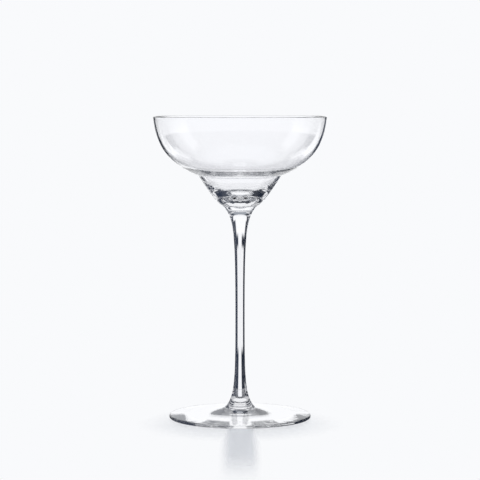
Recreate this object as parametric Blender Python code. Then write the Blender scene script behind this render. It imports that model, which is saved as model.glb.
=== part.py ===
# Margarita glass: a blown bowl, a drawn stem and a pressed foot, fused in a line on one axis.
# Metres, +Z up, with the foot's underside on z = 0 and the axis on x = y = 0.

import math

import bmesh
import bpy
from mathutils import Vector
from mathutils.geometry import interpolate_bezier

for old in list(bpy.data.objects):
    bpy.data.objects.remove(old, do_unlink=True)

# Foot
foot_diameter = 0.0904
foot_edge_thickness = 0.0022
foot_edge_round = 0.0009
foot_boss_radius = 0.0096
foot_boss_height = 0.0064
foot_boss_slope = math.radians(24)
foot_edge_slope = math.radians(3)
rest_ring_width = 0.0070
dish_depth = 0.0010

# Stem
stem_length = 0.1286
stem_waist_radius = 0.00295
stem_waist_height = 0.0604
stem_top_flare = math.radians(42)
stem_foot_flare = math.radians(44.5)

# Bowl
base_radius = 0.0109
base_thickness = 0.0043
base_flare = math.radians(64)
lower_cup_height = 0.0191
lower_cup_flank = math.radians(35.5)
cup_wall_lean = math.radians(29)
step_radius = 0.0265
step_round = 0.0004
step_wall = 0.0013
shoulder_thickness = 0.0015
shoulder_round = 0.0015
upper_bowl_height = 0.0375
bowl_underside_slope = math.radians(23)
bowl_floor_slope = math.radians(12.5)
rim_diameter = 0.1100
rim_flare = math.radians(4.8)
rim_wall = 0.0013

# Where two pieces are fused, their solids stand this far apart
seam_gap = 0.0003

# Facets round the axis, and points along each curve of a profile
around = 64
along = 10

# Heights of the seams, the step and the rim, stacked from the foot up
stem_bottom = foot_boss_height + seam_gap
stem_waist = stem_bottom + stem_waist_height
stem_top = stem_bottom + stem_length
bowl_bottom = stem_top + seam_gap
cup_floor = bowl_bottom + base_thickness
step_height = bowl_bottom + lower_cup_height
rim_height = step_height + upper_bowl_height


def point(radius, height):
    return Vector((radius, 0.0, height))


def heading(angle_from_vertical):
    """The way a profile leaves a point, out from the axis and up, for an angle from straight up."""
    return Vector((math.sin(angle_from_vertical), 0.0, math.cos(angle_from_vertical)))


def curve(start, start_handle, end_handle, end):
    """Points of one smooth stretch of a profile, without its last one."""
    return interpolate_bezier(start, start_handle, end_handle, end, along + 1)[:-1]


def arc(centre, radius, first, last, steps):
    """Points of a round edge, from one angle above the horizontal to another."""
    turns = [math.radians(first + (last - first) * i / steps) for i in range(steps + 1)]
    return [centre + Vector((math.cos(a), 0.0, math.sin(a))) * radius for a in turns]


def glass(name):
    """Clear, faintly cool lead-free crystal, fire polished."""
    material = bpy.data.materials.new(name)
    material.use_nodes = True
    shader = material.node_tree.nodes["Principled BSDF"]
    shader.inputs["Base Color"].default_value = (0.93, 0.95, 0.97, 1.0)
    shader.inputs["Roughness"].default_value = 0.02
    shader.inputs["Metallic"].default_value = 0.0
    shader.inputs["Transmission Weight"].default_value = 1.0
    shader.inputs["IOR"].default_value = 1.52
    return material


def lathe(name, profile):
    """A closed solid turned round the axis, from a profile that starts and ends on it."""
    form = bmesh.new()
    ring = [form.verts.new(p) for p in profile]
    edges = [form.edges.new(pair) for pair in zip(ring, ring[1:])]
    bmesh.ops.spin(
        form,
        geom=ring + edges,
        axis=(0.0, 0.0, 1.0),
        cent=(0.0, 0.0, 0.0),
        angle=math.tau,
        steps=around,
        use_merge=True,
    )
    bmesh.ops.remove_doubles(form, verts=form.verts, dist=1e-6)
    bmesh.ops.recalc_face_normals(form, faces=form.faces)
    mesh = bpy.data.meshes.new(name)
    form.to_mesh(mesh)
    form.free()
    mesh.shade_smooth()
    mesh.set_sharp_from_angle(angle=math.radians(35))
    mesh.materials.append(glass(name + " glass"))
    piece = bpy.data.objects.new(name, mesh)
    bpy.context.scene.collection.objects.link(piece)
    return piece


def foot_profile():
    """Up the middle, out over the top to the rounded edge, in along the rest ring and the dished underside."""
    edge_radius = foot_diameter / 2
    round_centre = edge_radius - foot_edge_round
    boss = point(foot_boss_radius, foot_boss_height)
    top_edge = point(round_centre, foot_edge_thickness)
    reach = round_centre - foot_boss_radius
    boss_way = heading(math.pi / 2 + foot_boss_slope)
    edge_way = heading(math.pi / 2 + foot_edge_slope)
    top = curve(boss, boss + boss_way * reach * 0.2, top_edge - edge_way * reach * 0.5, top_edge)
    upper_round = point(round_centre, foot_edge_thickness - foot_edge_round)
    lower_round = point(round_centre, foot_edge_round)
    edge = arc(upper_round, foot_edge_round, 90, 0, 4) + arc(lower_round, foot_edge_round, 0, -90, 4)
    ring_inside = point(round_centre - rest_ring_width, 0.0)
    dish_top = point(0.0, dish_depth)
    dish_reach = ring_inside.x
    dish = curve(
        ring_inside,
        ring_inside + Vector((-0.25 * dish_reach, 0.0, 0.5 * dish_depth)),
        dish_top + Vector((0.45 * dish_reach, 0.0, 0.0)),
        dish_top,
    )
    return [point(0.0, foot_boss_height)] + top + edge + dish + [dish_top]


def stem_profile():
    """Out along the flat top, down the flare to the waist and out again to the flat lower end."""
    top = point(base_radius, stem_top)
    waist = point(stem_waist_radius, stem_waist)
    bottom = point(foot_boss_radius, stem_bottom)
    above = stem_top - stem_waist
    below = stem_waist - stem_bottom
    upper = curve(
        top,
        top - heading(stem_top_flare) * above * 0.143,
        waist + Vector((0.0, 0.0, above * 0.79)),
        waist,
    )
    lower = curve(
        waist,
        waist - Vector((0.0, 0.0, below * 0.70)),
        bottom + heading(-stem_foot_flare) * below * 0.152,
        bottom,
    )
    return [point(0.0, stem_top)] + upper + lower + [bottom, point(0.0, stem_bottom)]


def rounded(corner, way_in, way_out, cut):
    """Points that round a corner off, from one cut's length before it to one after it."""
    first = corner - way_in * cut
    last = corner + way_out * cut
    handle = cut * 2 / 3
    return interpolate_bezier(first, first + way_in * handle, last - way_out * handle, last, 5)


def bowl_profile():
    """From the middle of the cup's floor up the inside, over the rim, down the outside to the flat base."""
    rim_round = rim_wall / 2
    rim_radius = rim_diameter / 2
    rim_centre = point(rim_radius - rim_round, rim_height - rim_round)
    rim_out = point(rim_radius, rim_centre.z)
    rim_in = point(rim_radius - rim_wall, rim_centre.z)
    step = point(step_radius, step_height)
    base = point(base_radius, bowl_bottom)
    shoulder = point(step_radius - step_wall, step_height + shoulder_thickness)
    floor = point(0.0, cup_floor)
    rim_way = heading(rim_flare)
    wall_way = heading(cup_wall_lean)
    floor_way = heading(math.pi / 2 - bowl_floor_slope)
    underside_way = heading(math.pi / 2 - bowl_underside_slope)
    flank_way = heading(lower_cup_flank)

    shoulder_turn = rounded(shoulder, wall_way, floor_way, shoulder_round)
    cup_depth = shoulder.z - floor.z
    lower_in = curve(
        floor,
        floor + Vector((shoulder.x * 0.666, 0.0, 0.0)),
        shoulder - wall_way * cup_depth * 0.2,
        shoulder_turn[0],
    )
    inner_drop = rim_in.z - shoulder.z
    inner_reach = rim_in.x - shoulder.x
    upper_in = curve(
        shoulder_turn[-1],
        shoulder + floor_way * inner_reach * 0.59,
        rim_in - rim_way * inner_drop * 0.54,
        rim_in,
    )
    rim = arc(rim_centre, rim_round, 180, 0, 6)
    step_turn = rounded(step, -underside_way, -flank_way, step_round)
    bowl_drop = rim_centre.z - step_height
    bowl_reach = rim_radius - step_radius
    upper_out = curve(
        rim_out,
        rim_out - rim_way * bowl_drop * 0.567,
        step + underside_way * bowl_reach * 0.64,
        step_turn[0],
    )
    flank = (step - base).length
    lower_out = curve(
        step_turn[-1],
        step - flank_way * flank * 0.355,
        base + heading(base_flare) * flank * 0.238,
        base,
    )
    inside = lower_in + shoulder_turn + upper_in[1:]
    outside = upper_out[1:] + step_turn + lower_out[1:]
    return inside + rim + outside + [base, point(0.0, bowl_bottom)]


lathe("foot", foot_profile())
lathe("stem", stem_profile())
lathe("bowl", bowl_profile())
print(f"margarita glass {rim_height * 1000:.1f} mm high, {rim_diameter * 1000:.1f} mm across the rim")
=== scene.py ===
import math

import bpy
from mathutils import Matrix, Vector


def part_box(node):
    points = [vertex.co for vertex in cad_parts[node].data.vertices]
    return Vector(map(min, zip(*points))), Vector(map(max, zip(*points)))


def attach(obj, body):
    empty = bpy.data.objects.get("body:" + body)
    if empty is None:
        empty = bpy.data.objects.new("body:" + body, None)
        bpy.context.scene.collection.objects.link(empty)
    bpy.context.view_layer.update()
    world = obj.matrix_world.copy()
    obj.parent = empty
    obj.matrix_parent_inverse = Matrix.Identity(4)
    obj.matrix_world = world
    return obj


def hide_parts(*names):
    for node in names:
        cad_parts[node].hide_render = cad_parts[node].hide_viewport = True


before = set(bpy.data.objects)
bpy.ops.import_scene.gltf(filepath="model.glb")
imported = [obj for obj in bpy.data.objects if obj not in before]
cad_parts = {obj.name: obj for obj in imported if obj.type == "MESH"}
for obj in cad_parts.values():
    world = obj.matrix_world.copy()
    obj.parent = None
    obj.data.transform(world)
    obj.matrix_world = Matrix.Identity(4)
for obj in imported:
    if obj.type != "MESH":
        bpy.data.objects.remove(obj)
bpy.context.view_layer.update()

mm = 0.001
degree = math.radians(1)


def linear(hexColour):
    # sRGB hex to the linear values that shaders take
    channels = [int(hexColour[i:i + 2], 16) / 255 for i in (0, 2, 4)]
    bent = [c / 12.92 if c <= 0.04045 else ((c + 0.055) / 1.055) ** 2.4 for c in channels]
    return (*bent, 1.0)


def addNode(tree, kind, settings=None, inputs=None):
    # settings are the node's own choices; an input is a value, or a socket to link from
    node = tree.nodes.new(kind)
    for name, value in (settings or {}).items():
        setattr(node, name, value)
    for name, value in (inputs or {}).items():
        if isinstance(value, bpy.types.NodeSocket):
            tree.links.new(value, node.inputs[name])
        else:
            node.inputs[name].default_value = value
    return node


def clearSelection():
    if bpy.context.object and bpy.context.object.mode != "OBJECT":
        bpy.ops.object.mode_set(mode="OBJECT")
    bpy.ops.object.select_all(action="DESELECT")


lathe = {
    "finer": 20,             # points along each curve of a profile
    "spinMerge": 1e-6,       # m, where the spin meets itself
    "poleMerge": 2e-6,       # m, where it meets the axis
    "roundHandle": 0.55,     # handle of a quarter circle, as a share of its radius
    "seamHandle": 3,         # mm, along the flat faces at the seams
}


def heading(angle):
    # the way that a profile goes, in degrees from outwards, turning up
    return Vector((math.cos(math.radians(angle)), 0, math.sin(math.radians(angle))))


def knot(radius, height, leaves, before, after, arrives=None):
    # one point of a profile in mm: the ways it arrives and leaves, and how far its two handles reach
    place = Vector((radius, 0, height)) * mm
    arrives = arrives if arrives is not None else leaves
    back = place - heading(arrives) * before * mm
    ahead = place + heading(leaves) * after * mm
    return place, back, ahead


def roundedCorner(radius, height, arrives, leaves, cut, before, after):
    # two knots that round a corner off, each the cut's length away from it
    corner = Vector((radius, 0, height))
    first = corner - heading(arrives) * cut
    second = corner + heading(leaves) * cut
    handle = cut * 2 / 3
    return [
        knot(first.x, first.z, arrives, before - cut, handle),
        knot(second.x, second.z, leaves, handle, after - cut),
    ]


def turnOnLathe(name, knots, around, finer=lathe["finer"]):
    # a profile is drawn with the pen from the axis round to the axis, then spun
    clearSelection()
    bpy.ops.curve.primitive_bezier_curve_add()
    piece = bpy.context.object
    piece.name = name
    line = piece.data.splines[0]
    line.bezier_points.add(len(knots) - len(line.bezier_points))
    for pen, (place, back, ahead) in zip(line.bezier_points, knots):
        pen.handle_left_type = pen.handle_right_type = "FREE"
        pen.co, pen.handle_left, pen.handle_right = place, back, ahead
    piece.data.resolution_u = finer
    bpy.ops.object.convert(target="MESH")
    piece = bpy.context.object
    spin = piece.modifiers.new("lathe", "SCREW")
    spin.steps = spin.render_steps = around
    spin.use_merge_vertices = True
    spin.merge_threshold = lathe["spinMerge"]
    bpy.ops.object.modifier_apply(modifier="lathe")
    bpy.ops.object.mode_set(mode="EDIT")
    bpy.ops.mesh.select_all(action="SELECT")
    bpy.ops.mesh.remove_doubles(threshold=lathe["poleMerge"])
    bpy.ops.mesh.normals_make_consistent(inside=False)
    bpy.ops.object.mode_set(mode="OBJECT")
    bpy.ops.object.shade_smooth()
    piece.data.name = name
    return piece


# Heights of the three fused pieces, from the frame
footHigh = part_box("foot")[1]
stemLow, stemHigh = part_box("stem")
bowlLow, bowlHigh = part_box("bowl")
rimHeight = bowlHigh.z / mm
rimRadius = bowlHigh.x / mm
lowerSeam = (footHigh.z + stemLow.z) / 2 / mm
upperSeam = (stemHigh.z + bowlLow.z) / 2 / mm
footRadius = footHigh.x / mm
print("frame read: seams at", round(lowerSeam, 2), "and", round(upperSeam, 2), "mm")

bowlSizes = {
    "rimWall": 1.3,          # mm, as are all sizes here
    "rimFlare": 4.8,         # degrees from upright
    "stepRadius": 26.5,      # the corner under the bowl, where it meets the lower cup
    "stepRise": 19.25,       # from the upper seam
    "stepRound": 0.4,
    "underSlope": 23,        # of the upper bowl's underside at the step, degrees
    "underShare": 0.64,      # shares are of a curve's reach or drop, and set its handles
    "outsideShare": 0.567,
    "ridgeRadius": 25.2,     # the inner corner between bowl and cup
    "ridgeRise": 20.75,
    "ridgeRound": 1.5,
    "floorSlope": 12.5,      # of the upper bowl's floor at the inner corner
    "floorShare": 0.59,
    "insideShare": 0.54,
    "cupWall": 61,           # degrees from level, just inside the cup
    "cupWallReach": 3.25,
    "cupFloorRise": 4.45,
    "cupFloorReach": 16.8,
    "flank": 54.5,           # degrees from level, outside the cup
    "flankReach": 8.75,
    "seamRadius": 10.9,
    "seamFlare": 26,         # degrees from level, outside the cup at the seam
    "seamReach": 5.87,
    "around": 192,           # facets round the axis
}


def makeBowl():
    s = bowlSizes
    step = upperSeam + s["stepRise"]
    ridge = upperSeam + s["ridgeRise"]
    wall = s["rimWall"]
    half = wall / 2
    bend = half * lathe["roundHandle"]
    rimTop = rimHeight - half
    drop = rimTop - step
    reach = rimRadius - s["stepRadius"]
    inReach = rimRadius - wall - s["ridgeRadius"]
    inDrop = rimTop - ridge
    upright = 90 - s["rimFlare"]
    seamHandle = lathe["seamHandle"]
    knots = [
        knot(0, upperSeam + s["cupFloorRise"], 0, 0, s["cupFloorReach"]),
        *roundedCorner(s["ridgeRadius"], ridge, s["cupWall"], s["floorSlope"], s["ridgeRound"],
                       s["cupWallReach"], inReach * s["floorShare"]),
        knot(rimRadius - wall, rimTop, upright, inDrop * s["insideShare"], bend),
        knot(rimRadius - half, rimHeight, 0, bend, bend),
        knot(rimRadius, rimTop, upright - 180, bend, drop * s["outsideShare"]),
        *roundedCorner(s["stepRadius"], step, 180 + s["underSlope"], 180 + s["flank"], s["stepRound"],
                       reach * s["underShare"], s["flankReach"]),
        knot(s["seamRadius"], upperSeam, leaves=180, arrives=180 + s["seamFlare"],
             before=s["seamReach"], after=seamHandle),
        knot(0, upperSeam, 180, seamHandle, 0),
    ]
    return turnOnLathe("bowl_glass", knots, s["around"])


stemSizes = {
    "topRadius": 10.9,       # mm, as are all sizes here
    "topFlare": 42,          # degrees from upright
    "topShare": 0.143,       # shares are of the length above or below the waist, and set handles
    "waistRadius": 2.95,
    "waistHeight": 67,
    "aboveShare": 0.79,
    "belowShare": 0.70,
    "footFlare": 44.5,
    "footShare": 0.152,
    "footRadius": 9.6,
    "around": 128,           # facets round the axis
    "finer": 48,             # points along each curve, which are long here
}


def makeStem():
    s = stemSizes
    above = upperSeam - s["waistHeight"]
    below = s["waistHeight"] - lowerSeam
    seamHandle = lathe["seamHandle"]
    knots = [
        knot(0, upperSeam, 0, 0, seamHandle),
        knot(s["topRadius"], upperSeam, leaves=270 - s["topFlare"], arrives=0,
             before=seamHandle, after=above * s["topShare"]),
        knot(s["waistRadius"], s["waistHeight"], 270, above * s["aboveShare"], below * s["belowShare"]),
        knot(s["footRadius"], lowerSeam, leaves=180, arrives=270 + s["footFlare"],
             before=below * s["footShare"], after=seamHandle),
        knot(0, lowerSeam, 180, seamHandle, 0),
    ]
    return turnOnLathe("stem_glass", knots, s["around"], s["finer"])


footSizes = {
    "bossRadius": 9.6,       # mm, as are all sizes here
    "bossSlope": 24,         # degrees below level, beside the seam
    "bossShare": 0.14,       # shares are of the top's reach, and set its handles
    "edgeThickness": 2.2,
    "edgeRound": 0.9,
    "edgeSlope": 4,          # degrees below level, at the rounded edge
    "edgeShare": 0.62,
    "edgeHandle": 0.1,       # along the short upright part of the edge
    "restRing": 7.0,         # width of the flat ring that it stands on
    "ringHandle": 2,
    "dish": 2.2,             # depth of the hollow underneath
    "dishEdge": 0.25,        # its handles, as shares of its radius
    "dishMiddle": 0.45,
    "around": 192,           # facets round the axis
}


def makeFoot():
    s = footSizes
    roundAt = footRadius - s["edgeRound"]
    bend = s["edgeRound"] * lathe["roundHandle"]
    reach = roundAt - s["bossRadius"]
    ring = roundAt - s["restRing"]
    seamHandle = lathe["seamHandle"]
    knots = [
        knot(0, lowerSeam, 0, 0, seamHandle),
        knot(s["bossRadius"], lowerSeam, leaves=-s["bossSlope"], arrives=0,
             before=seamHandle, after=reach * s["bossShare"]),
        knot(roundAt, s["edgeThickness"], -s["edgeSlope"], reach * s["edgeShare"], bend),
        knot(footRadius, s["edgeThickness"] - s["edgeRound"], 270, bend, s["edgeHandle"]),
        knot(footRadius, s["edgeRound"], 270, s["edgeHandle"], bend),
        knot(roundAt, 0, 180, bend, s["ringHandle"]),
        knot(ring, 0, 180, s["ringHandle"], ring * s["dishEdge"]),
        knot(0, s["dish"], 180, ring * s["dishMiddle"], 0),
    ]
    return turnOnLathe("foot_glass", knots, s["around"])


glassLook = {
    "colour": "FEFEFF",
    "bending": 1.52,         # index of refraction
    "waveLength": 14,        # mm, of the shallow waves that hot working leaves
    "waveHeight": 0.003,     # mm
    "seamLevel": 0.01,       # mm, how near a seam a face lies to be part of it
    "seamFlat": 0.999,       # and how upright its normal is
}


def clearGlass(name):
    # Lead-free crystal, blown or pressed and fire polished: clear, with a faint cool cast and slightly wavy
    s = glassLook
    material = bpy.data.materials.new(name)
    material.use_nodes = True
    tree = material.node_tree
    shader = tree.nodes["Principled BSDF"]
    shader.inputs["Base Color"].default_value = linear(s["colour"])
    shader.inputs["Roughness"].default_value = 0.0
    shader.inputs["IOR"].default_value = s["bending"]
    shader.inputs["Transmission Weight"].default_value = 1.0
    where = addNode(tree, "ShaderNodeTexCoord")
    waves = addNode(tree, "ShaderNodeTexNoise", inputs={
        "Vector": where.outputs["Object"], "Scale": 1 / (s["waveLength"] * mm), "Detail": 1.0})
    bump = addNode(tree, "ShaderNodeBump", inputs={
        "Height": waves.outputs[0], "Distance": s["waveHeight"] * mm})
    tree.links.new(bump.outputs[0], shader.inputs["Normal"])
    return material


def fusedSeam():
    # Inside the fused glass nothing parts the pieces, so this face shows nothing
    material = bpy.data.materials.new("fused seam")
    material.use_nodes = True
    shader = material.node_tree.nodes["Principled BSDF"]
    shader.inputs["Alpha"].default_value = 0.0
    return material


def liesOnSeam(face):
    level = face.center.z / mm
    flat = abs(face.normal.z) > glassLook["seamFlat"]
    return flat and any(abs(level - height) < glassLook["seamLevel"] for height in (lowerSeam, upperSeam))


glass = clearGlass("crystal, fire polished")
seam = fusedSeam()
for piece, node in ((makeBowl(), "bowl"), (makeStem(), "stem"), (makeFoot(), "foot")):
    piece.data.materials.append(glass)
    piece.data.materials.append(seam)
    for face in piece.data.polygons:
        if liesOnSeam(face):
            face.material_index = 1
    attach(piece, "root")
    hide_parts(node)
    print(node, "made,", len(piece.data.polygons), "faces")

# Studio: the camera and matt surfaces see plain white. The glass sees a dark room with lit windows, two
# drums of softbox cloth and a small light table under the foot, which stay out of the picture.
# A pale acrylic sheet before the foot, with a painted grey streak and a painted soft shadow on it, is all
# that the picture shows of the stage.
# Each panel goes from dark to lit and back: degrees round from straight behind, and degrees up or mm high.
stageLook = {
    "white": "F9FAFC",
    "lit": 1.10,             # brightness of the windows, for the rays that see them
    "leftWall": "242A36",
    "rightWall": "343B4A",
    "wallsMeet": (-10, 10),  # degrees round, where one wall turns into the other
    "ceiling": "9CA1AA",
    "above": (52, 64),       # degrees up where the ceiling begins
    "ground": "2A303C",
    "under": (-50, -36),     # and where the ground ends
    "room": (
        {"round": (-12.5, -9.5, 9.5, 12.5), "up": (-18, -13, 30, 50)},       # window
        {"round": (-7, -5, 5, 7), "up": (-31, -21, -14, -10)},               # its foot
        {"round": (-35, -28, 19, 26), "up": (1, 4, 24, 36)},                 # its upper part
        {"round": (-40, -34, 34, 40), "up": (15, 20, 36, 50)},               # and its top
        {"round": (-51, -49, -41, -39), "up": (-34, -30, -20, -16)},         # low window
        {"round": (-200, -190, -92, -78), "up": (-100, -95, -20, -12), "share": 0.6},    # floor, front left
        {"round": (78, 92, 190, 200), "up": (-100, -95, -20, -12), "share": 0.6},        # floor, front right
        {"round": (-200, -190, -56, -36), "up": (-100, -95, -56, -46), "share": 0.6},    # floor, left
        {"round": (36, 56, 190, 200), "up": (-100, -95, -56, -46), "share": 0.6},        # floor, right
        {"round": (-102, -97, -83, -78), "up": (-16, -12, 6, 10)},           # side window
        {"round": (128, 131, 139, 142), "up": (-26, -22, -8, -4)},           # front window
    ),
    "drumSides": 128,
    "drums": (
        {"radius": 200, "lit": 1.03, "panels": (
            {"round": (-31, -28.5, 21, 23), "up": (8, 20, 101, 112)},
            {"round": (-12.5, -9.5, 9.5, 12.5), "up": (-62, -52, 20, 30)},
        )},
        {"radius": 90, "lit": 1.1, "panels": (
            {"round": (-83, -80, -63, -60), "up": (122, 130, 196, 202)},
            {"round": (60, 63, 80, 83), "up": (122, 130, 196, 202)},
            {"round": (-93, -90, -75, -72), "up": (88, 94, 138, 142)},
            {"round": (72, 75, 90, 93), "up": (88, 94, 138, 142)},
            {"round": (-200, -190, -78, -74), "up": (163, 167, 196, 202)},
            {"round": (74, 78, 190, 200), "up": (163, 167, 196, 202)},
            {"round": (-80, -70, -30, -24), "up": (196, 226, 275, 295), "share": 0.7},
            {"round": (24, 30, 70, 80), "up": (196, 226, 275, 295), "share": 0.7},
            {"round": (-11, -8, 8, 11), "up": (-72, -62, -16, -10)},
        )},
    ),
    "discSides": 96,
    "discLit": 1.0,
    "discHeight": -25,       # mm, of the light table
    "discRound": (-2, -1, 18, 22),       # mm from its middle, where it fades out
    # the pale grey that the sheet glows in: painted light, a grey streak and a soft shadow before the foot
    "sheet": "E1E4E9",
    "sheetHeight": -0.2,     # mm, just clear of the foot
    "sheetPaintedGlow": 0.67,       # brightness of its painted glow, and share of the light that it reflects
    "sheetMirror": 0.3,
    "sheetGloss": 0.3,       # roughness of its reflections
    "sheetAside": (-13, -5, 6, 13),      # mm, where the painted streak fades in and out
    "sheetAlong": (-220, -118, -46, -24),
    "shade": 0.5,            # the sheet's share in the painted soft shadow before the foot
    "shadeMiddle": -25,      # mm
    "shadeRound": (-2, -1, 34, 68),      # mm from its middle
    "edgeRound": (38, 43, 50, 58),       # mm from the glass's middle, the painted dark shade at the foot's edge
    "edgeAlong": (-70, -65, -30, -6),
}


def shareBetween(tree, share, value, edges, unit):
    # a share that fades in between the first two edges and out between the last two
    for none, full in (edges[:2], edges[:1:-1]):
        edge = addNode(tree, "ShaderNodeMapRange", {"interpolation_type": "SMOOTHSTEP"},
                       {0: value, 1: none * unit, 2: full * unit})
        share = addNode(tree, "ShaderNodeMath", {"operation": "MULTIPLY"},
                        {0: share, 1: edge.outputs[0]}).outputs[0]
    return share


def bearings(tree, place):
    # how far round from straight behind a place lies, and its height
    parts = addNode(tree, "ShaderNodeSeparateXYZ", inputs={0: place})
    turn = addNode(tree, "ShaderNodeMath", {"operation": "ARCTAN2"},
                   {0: parts.outputs["X"], 1: parts.outputs["Y"]})
    return turn.outputs[0], parts.outputs["Z"]


def litShare(tree, turn, height, panels, unit):
    # how far the panels light a direction or a place on a drum
    lit = 0.0
    for panel in panels:
        shown = shareBetween(tree, panel.get("share", 1.0), turn, panel["round"], degree)
        shown = shareBetween(tree, shown, height, panel["up"], unit)
        lit = addNode(tree, "ShaderNodeMath", {"operation": "MAXIMUM"}, {0: lit, 1: shown}).outputs[0]
    return lit


def unseenRays(tree):
    # rays from the camera and from matt surfaces, which see plain white instead of the studio
    ray = addNode(tree, "ShaderNodeLightPath")
    return addNode(tree, "ShaderNodeMath", {"operation": "MAXIMUM"},
                   {0: ray.outputs["Is Camera Ray"], 1: ray.outputs["Is Diffuse Ray"]}).outputs[0]


def makeWorld():
    s = stageLook
    world = bpy.data.worlds.new("studio")
    bpy.context.scene.world = world
    world.use_nodes = True
    tree = world.node_tree
    tree.nodes.clear()
    way = addNode(tree, "ShaderNodeTexCoord")
    turn, rise = bearings(tree, way.outputs["Generated"])
    height = addNode(tree, "ShaderNodeMath", {"operation": "ARCSINE"}, {0: rise}).outputs[0]
    lit = litShare(tree, turn, height, s["room"], degree)
    colour = linear(s["leftWall"])
    for value, edges, other in ((turn, s["wallsMeet"], "rightWall"), (height, s["above"], "ceiling"),
                                (height, s["under"][::-1], "ground")):
        low, high = (math.radians(edge) for edge in edges)
        share = addNode(tree, "ShaderNodeMapRange", {"interpolation_type": "SMOOTHSTEP"},
                        {0: value, 1: low, 2: high})
        # the mix node names its colour inputs as it names its other ones, so they go by number
        colour = addNode(tree, "ShaderNodeMix", {"data_type": "RGBA"},
                         {0: share.outputs[0], 6: colour, 7: linear(s[other])}).outputs[2]
    whole = addNode(tree, "ShaderNodeMix", {"data_type": "RGBA"}, {0: lit, 6: colour, 7: linear(s["white"])})
    bright = addNode(tree, "ShaderNodeMapRange", inputs={0: lit, 3: 1.0, 4: s["lit"]})
    studio = addNode(tree, "ShaderNodeBackground", inputs={0: whole.outputs[2], 1: bright.outputs[0]})
    plain = addNode(tree, "ShaderNodeBackground", inputs={0: linear(s["white"]), 1: 1.0})
    mix = addNode(tree, "ShaderNodeMixShader",
                  inputs={0: unseenRays(tree), 1: studio.outputs[0], 2: plain.outputs[0]})
    addNode(tree, "ShaderNodeOutputWorld", inputs={0: mix.outputs[0]})


def stageMaterial(name):
    # a material with nothing in it yet but its output
    material = bpy.data.materials.new(name)
    material.use_nodes = True
    nodes = material.node_tree.nodes
    nodes.remove(nodes["Principled BSDF"])
    return material


def show(tree, mix):
    tree.links.new(mix.outputs[0], tree.nodes["Material Output"].inputs["Surface"])


def lightTheGlass(tree, share, lit):
    # light that only the glass sees, so that it stays out of the picture
    shown = addNode(tree, "ShaderNodeMath", {"operation": "SUBTRACT", "use_clamp": True},
                    {0: share, 1: unseenRays(tree)})
    clear = addNode(tree, "ShaderNodeBsdfTransparent")
    light = addNode(tree, "ShaderNodeEmission", inputs={0: linear(stageLook["white"]), 1: lit})
    show(tree, addNode(tree, "ShaderNodeMixShader",
                       inputs={0: shown.outputs[0], 1: clear.outputs[0], 2: light.outputs[0]}))


def makeDrum(name, radius, lit, panels):
    # Softbox cloth, white and evenly lit from behind; between its panels there is nothing
    clearSelection()
    low = min(panel["up"][0] for panel in panels)
    high = max(panel["up"][3] for panel in panels)
    bpy.ops.mesh.primitive_cylinder_add(vertices=stageLook["drumSides"], radius=radius * mm,
                                        depth=(high - low) * mm, end_fill_type="NOTHING",
                                        location=(0, 0, (low + high) / 2 * mm))
    drum = bpy.context.object
    drum.name = name
    bpy.ops.object.transform_apply(location=True)
    bpy.ops.object.shade_smooth()
    cloth = stageMaterial(name + " cloth")
    cloth.cycles.emission_sampling = "NONE"
    tree = cloth.node_tree
    where = addNode(tree, "ShaderNodeTexCoord")
    turn, height = bearings(tree, where.outputs["Object"])
    lightTheGlass(tree, litShare(tree, turn, height, panels, mm), lit)
    drum.data.materials.append(cloth)


def makeDisc():
    # A small light table under the foot, of opal acrylic that glows evenly and fades out at its edge
    s = stageLook
    clearSelection()
    bpy.ops.mesh.primitive_circle_add(vertices=s["discSides"], radius=s["discRound"][3] * mm,
                                      fill_type="NGON", location=(0, 0, s["discHeight"] * mm))
    disc = bpy.context.object
    disc.name = "light table"
    opal = stageMaterial("opal acrylic")
    tree = opal.node_tree
    where = addNode(tree, "ShaderNodeTexCoord")
    away = addNode(tree, "ShaderNodeVectorMath", {"operation": "LENGTH"}, {0: where.outputs["Object"]})
    lightTheGlass(tree, shareBetween(tree, 1.0, away.outputs["Value"], s["discRound"], mm), s["discLit"])
    disc.data.materials.append(opal)


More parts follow.
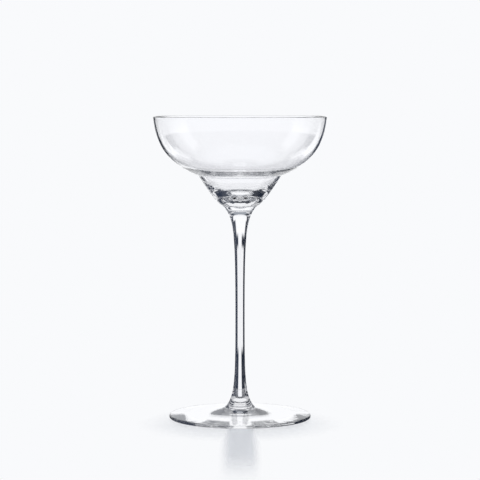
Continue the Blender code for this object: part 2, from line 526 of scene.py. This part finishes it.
def makeSheet():
    # A strip of pale, satin acrylic in front of the foot: its grey streak is partly a real soft reflection
    # and partly painted, a glow of its own; before the foot it has a painted soft shadow, and it fades out
    # all round
    s = stageLook
    clearSelection()
    bpy.ops.mesh.primitive_plane_add(size=1)
    sheet = bpy.context.object
    sheet.name = "sheet"
    aside = s["shadeRound"][3]
    far = s["shadeMiddle"] + aside
    near = s["sheetAlong"][0]
    sheet.dimensions = (2 * aside * mm, (far - near) * mm, 0)
    sheet.location = (0, (far + near) / 2 * mm, s["sheetHeight"] * mm)
    bpy.ops.object.transform_apply(location=True, scale=True)
    satin = stageMaterial("satin acrylic, painted streak and shadow")
    tree = satin.node_tree
    clear = addNode(tree, "ShaderNodeBsdfTransparent")
    shine = [channel * s["sheetMirror"] for channel in linear(s["sheet"])[:3]]
    gloss = addNode(tree, "ShaderNodeBsdfGlossy", inputs={"Color": (*shine, 1), "Roughness": s["sheetGloss"]})
    # the sheet's own glow is painted light: it paints the grey streak and the soft shadow
    paintedGlow = addNode(tree, "ShaderNodeEmission", inputs={0: linear(s["sheet"]), 1: s["sheetPaintedGlow"]})
    both = addNode(tree, "ShaderNodeAddShader", inputs={0: gloss.outputs[0], 1: paintedGlow.outputs[0]})
    where = addNode(tree, "ShaderNodeTexCoord")
    parts = addNode(tree, "ShaderNodeSeparateXYZ", inputs={0: where.outputs["Object"]})
    # where the painted streak lies; its gloss adds the stem's real reflection
    strip = shareBetween(tree, 1.0, parts.outputs["X"], s["sheetAside"], mm)
    strip = shareBetween(tree, strip, parts.outputs["Y"], s["sheetAlong"], mm)
    # a painted soft shadow, round a point before the foot
    away = addNode(tree, "ShaderNodeVectorMath", {"operation": "DISTANCE"},
                   {0: where.outputs["Object"], 1: (0, s["shadeMiddle"] * mm, 0)})
    shade = shareBetween(tree, s["shade"], away.outputs["Value"], s["shadeRound"], mm)
    share = addNode(tree, "ShaderNodeMath", {"operation": "MAXIMUM"}, {0: strip, 1: shade})
    seen = addNode(tree, "ShaderNodeMixShader",
                   inputs={0: share.outputs[0], 1: clear.outputs[0], 2: both.outputs[0]})
    # the glass sees only a painted dark shade at its own edge, a black band that darkens its rim
    away = addNode(tree, "ShaderNodeVectorMath", {"operation": "LENGTH"}, {0: where.outputs["Object"]})
    shade = shareBetween(tree, 1.0, away.outputs["Value"], s["edgeRound"], mm)
    shade = shareBetween(tree, shade, parts.outputs["Y"], s["edgeAlong"], mm)
    dark = addNode(tree, "ShaderNodeEmission", inputs={1: 0.0})
    shaded = addNode(tree, "ShaderNodeMixShader", inputs={0: shade, 1: clear.outputs[0], 2: dark.outputs[0]})
    ray = addNode(tree, "ShaderNodeLightPath")
    show(tree, addNode(tree, "ShaderNodeMixShader",
                       inputs={0: ray.outputs["Is Camera Ray"], 1: shaded.outputs[0], 2: seen.outputs[0]}))
    sheet.data.materials.append(satin)


cameraView = {
    "away": 1.24,            # m, before the glass
    "height": 0.20688,       # m
    "down": 4.3,             # degrees
    "focalPixels": 1955.45,  # focal length, in pixels of the frame
    "frame": 480,            # pixels across
    "sensor": 36,            # mm
    "nearest": 0.05,         # m, nothing closer is drawn
}


def makeCamera():
    view = cameraView
    lens = bpy.data.cameras.new("camera")
    lens.sensor_width = view["sensor"]
    lens.lens = view["focalPixels"] / view["frame"] * lens.sensor_width
    lens.clip_start = view["nearest"]
    holder = bpy.data.objects.new("camera", lens)
    holder.location = (0, -view["away"], view["height"])
    holder.rotation_euler = (math.radians(90 - view["down"]), 0, 0)
    bpy.context.scene.collection.objects.link(holder)
    bpy.context.scene.camera = holder


# Light crosses many faces in the thick base before it leaves the glass
lightBounces = {
    "max_bounces": 96,
    "transmission_bounces": 96,
    "glossy_bounces": 32,
    "transparent_max_bounces": 64,
}

makeWorld()
for number, drum in enumerate(stageLook["drums"]):
    makeDrum("softbox " + str(number + 1), **drum)
makeDisc()
makeSheet()
makeCamera()
bpy.context.scene.view_settings.view_transform = "Standard"
for name, count in lightBounces.items():
    setattr(bpy.context.scene.cycles, name, count)
print("stage set")
